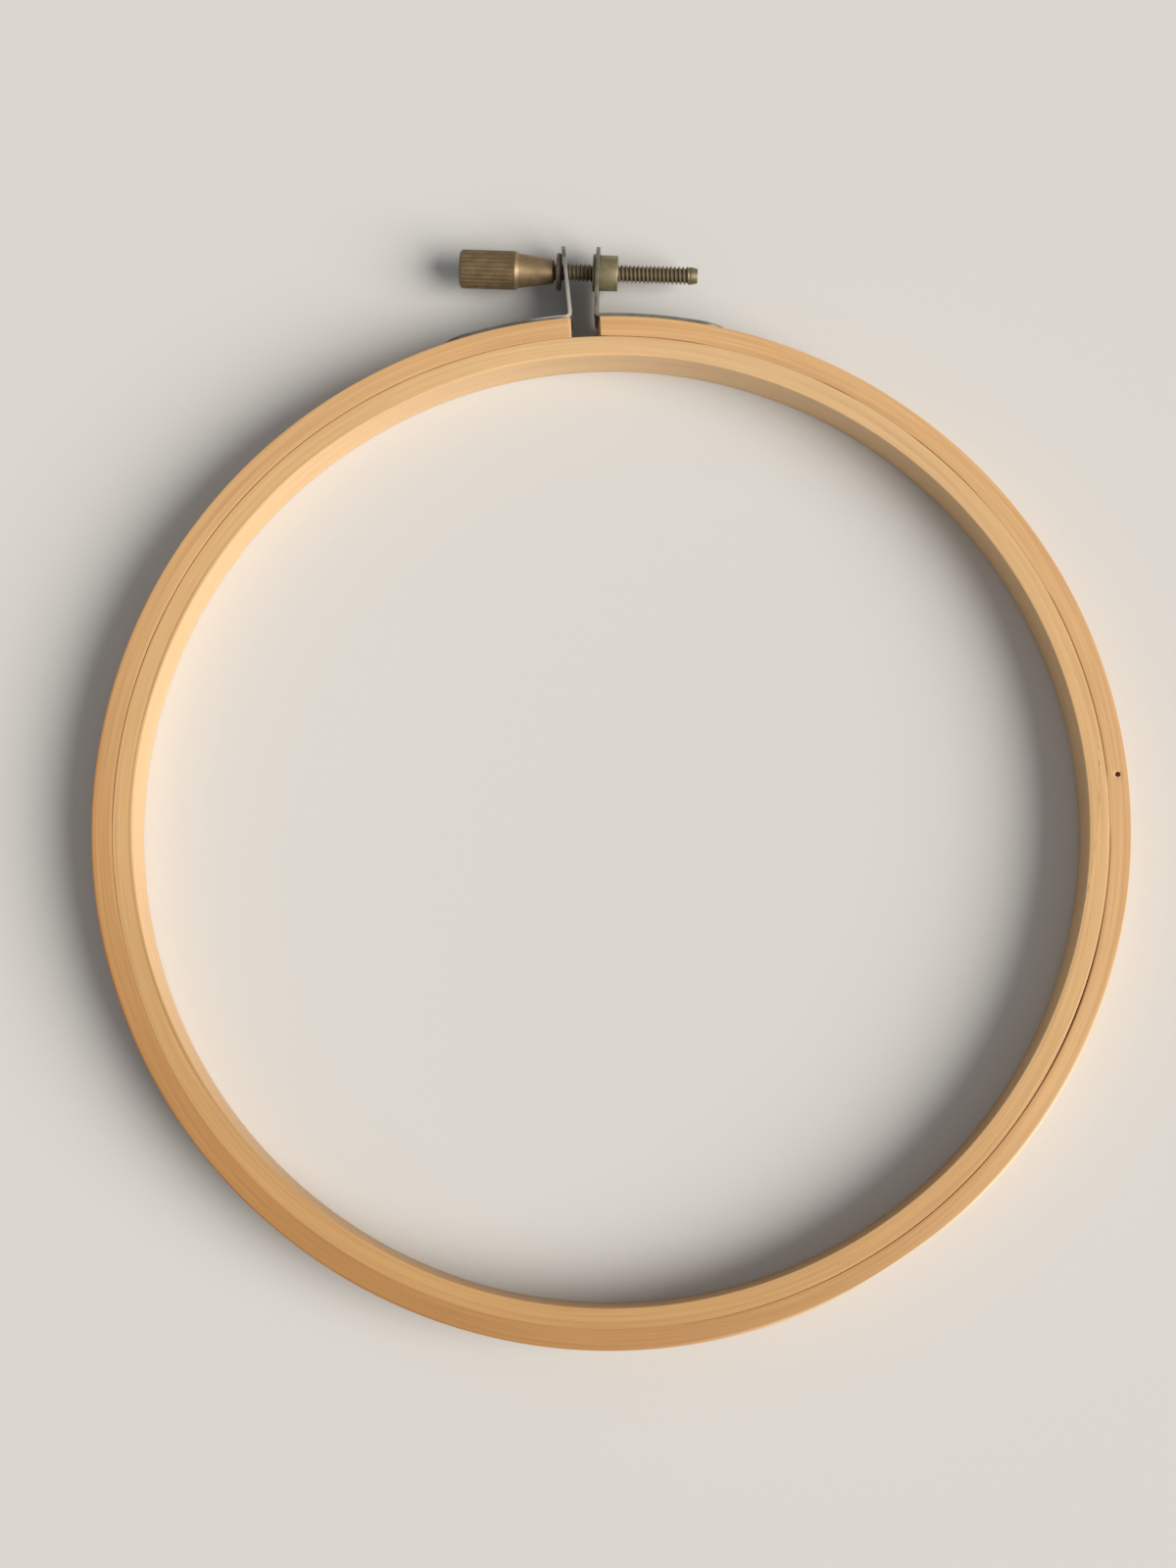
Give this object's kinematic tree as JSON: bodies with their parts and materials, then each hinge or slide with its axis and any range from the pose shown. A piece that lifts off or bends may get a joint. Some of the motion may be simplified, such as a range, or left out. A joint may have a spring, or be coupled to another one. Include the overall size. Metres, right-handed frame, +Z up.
{
  "type": "embroidery hoop",
  "caption": "Round bamboo embroidery hoop: a closed inner hoop inside a split outer hoop, drawn tight by a thumb screw through two ears beside the rim.",
  "frame": {"origin": "on the axis of the two hoops, in the plane of their lower faces, which rest on the table", "axes": "+Z up along the hoops' axis; +Y from the centre towards the clamp; +X along the thumb screw, from the knob towards the tip"},
  "size_m": [0.1564, 0.1685, 0.0095],
  "materials": {
    "inner_bamboo": "sanded and waxed bamboo, pale honey, fine fibres along the strip",
    "outer_bamboo": "sanded and waxed bamboo, honey, fine fibres along the strip",
    "bracket_steel": "antique plated sheet, satin, bright on the sheared edges",
    "rivet_steel": "antique plated, satin",
    "nut_brass": "antique brass, satin",
    "screw_brass": "antique brass, worn bright on the crests",
    "knob_brass": "antique brass, satin",
    "washer_bronze": "dark bronze, dull"
  },
  "bodies": {
    "outer_hoop": {"outer_hoop": "outer_bamboo"},
    "inner_hoop": {"inner_hoop": "inner_bamboo"},
    "left_clamp_half": {"left_bracket": "bracket_steel", "left_rivets": "rivet_steel"},
    "right_clamp_half": {"right_bracket": "bracket_steel", "right_rivets": "rivet_steel", "clamp_nut": "nut_brass"},
    "thumb_screw": {"screw_rod": "screw_brass", "thumb_knob": "knob_brass", "knob_washer": "washer_bronze"}
  },
  "joints": [
    {"name": "inner_hoop_lift", "type": "slide", "parent": "outer_hoop", "child": "inner_hoop", "axis": [0, 0, 1], "range_m": [0, 0.03]},
    {"name": "left_end_spread", "type": "slide", "parent": "outer_hoop", "child": "left_clamp_half", "axis": [-1, 0, 0], "range_m": [0, 0.00603], "deforming": ["outer_hoop"]},
    {"name": "right_end_spread", "type": "slide", "parent": "outer_hoop", "child": "right_clamp_half", "axis": [1, 0, 0], "range_m": [0, 0.00603], "deforming": ["outer_hoop"]},
    {"name": "screw_turn", "type": "hinge", "parent": "left_clamp_half", "child": "thumb_screw", "pos_m": [-0.01148, 0.08633, 0.00475], "axis": [-1, 0, 0], "range_deg": [0, 6840]}
  ],
  "couplings": [
    {"joint": "right_end_spread", "follows": "left_end_spread", "ratio": 1},
    {"joint": "screw_turn", "follows": "left_end_spread", "rad_per_m": 19790}
  ]
}
